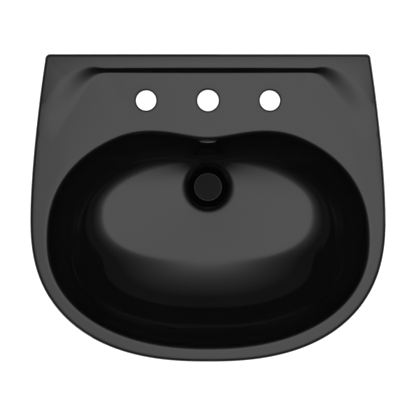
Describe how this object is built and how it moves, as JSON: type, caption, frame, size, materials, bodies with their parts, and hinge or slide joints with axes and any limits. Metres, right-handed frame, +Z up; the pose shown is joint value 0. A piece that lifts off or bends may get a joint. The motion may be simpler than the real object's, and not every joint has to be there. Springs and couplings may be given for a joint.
{
  "type": "pedestal sink",
  "caption": "Black china basin with a bean-shaped bowl, back ledge and open faucet holes, on a china pedestal that hides a push drain and a swivelling trap.",
  "frame": {"origin": "on the floor, under the centre of the basin's outline", "axes": "+Z up, +Y towards the wall, -Y towards the user, +X to the user's right"},
  "size_m": [0.584, 0.505, 0.859],
  "materials": {
    "basin": "gloss black glaze",
    "pedestal": "gloss black glaze",
    "pedestal_pads": "matt",
    "drain_body": "satin black coating on brass",
    "flange_gasket": "matt",
    "tapered_gasket": "matt",
    "friction_washer": "smooth",
    "drain_locknut": "machined",
    "cartridge_body": "smooth",
    "cartridge_collar": "smooth",
    "click_spring": "drawn wire",
    "stopper_cap": "matt black coating on brass",
    "stopper_seal": "matt",
    "stopper_stem": "turned",
    "stem_clip": "pressed",
    "index_rotor": "moulded",
    "tailpiece_washer": "matt",
    "tailpiece": "polished",
    "j_bend": "polished",
    "trap_inlet_nut": "polished",
    "trap_inlet_washer": "smooth",
    "trap_outlet_nut": "polished",
    "trap_outlet_washer": "smooth",
    "trap_arm": "polished",
    "wall_escutcheon": "polished"
  },
  "bodies": {
    "sink": {"basin": "basin", "pedestal": "pedestal", "pedestal_pads": "pedestal_pads", "drain_body": "drain_body", "flange_gasket": "flange_gasket", "tapered_gasket": "tapered_gasket", "friction_washer": "friction_washer", "drain_locknut": "drain_locknut", "cartridge_body": "cartridge_body", "cartridge_collar": "cartridge_collar", "click_spring": "click_spring", "tailpiece_washer": "tailpiece_washer", "tailpiece": "tailpiece"},
    "stopper": {"stopper_cap": "stopper_cap", "stopper_seal": "stopper_seal", "stopper_stem": "stopper_stem", "stem_clip": "stem_clip"},
    "rotor": {"index_rotor": "index_rotor"},
    "trap_bend": {"j_bend": "j_bend", "trap_inlet_nut": "trap_inlet_nut", "trap_inlet_washer": "trap_inlet_washer", "trap_outlet_nut": "trap_outlet_nut", "trap_outlet_washer": "trap_outlet_washer"},
    "trap_arm": {"trap_arm": "trap_arm"},
    "escutcheon": {"wall_escutcheon": "wall_escutcheon"}
  },
  "joints": [
    {"name": "stopper_slide", "type": "slide", "parent": "sink", "child": "stopper", "axis": [0, 0, 1], "range_m": [0, 0.009], "deforming": ["click_spring"]},
    {"name": "rotor_turn", "type": "hinge", "parent": "stopper", "child": "rotor", "pos_m": [0, 0.0353, 0.675], "axis": [0, 0, 1], "range_deg": [0, 30]},
    {"name": "trap_swivel", "type": "hinge", "parent": "sink", "child": "trap_bend", "pos_m": [0, 0.0353, 0.45], "axis": [0, 0, 1], "range_deg": [-2, 20]},
    {"name": "arm_swivel", "type": "hinge", "parent": "trap_bend", "child": "trap_arm", "pos_m": [0.038, 0.0868, 0.45], "axis": [0, 0, 1], "range_deg": [-8, 20]},
    {"name": "escutcheon_slide", "type": "slide", "parent": "trap_arm", "child": "escutcheon", "axis": [0, -1, 0], "range_m": [0, 0.06]}
  ],
  "couplings": [
    {"joint": "rotor_turn", "follows": "stopper_slide", "rad_per_m": 58.178}
  ]
}
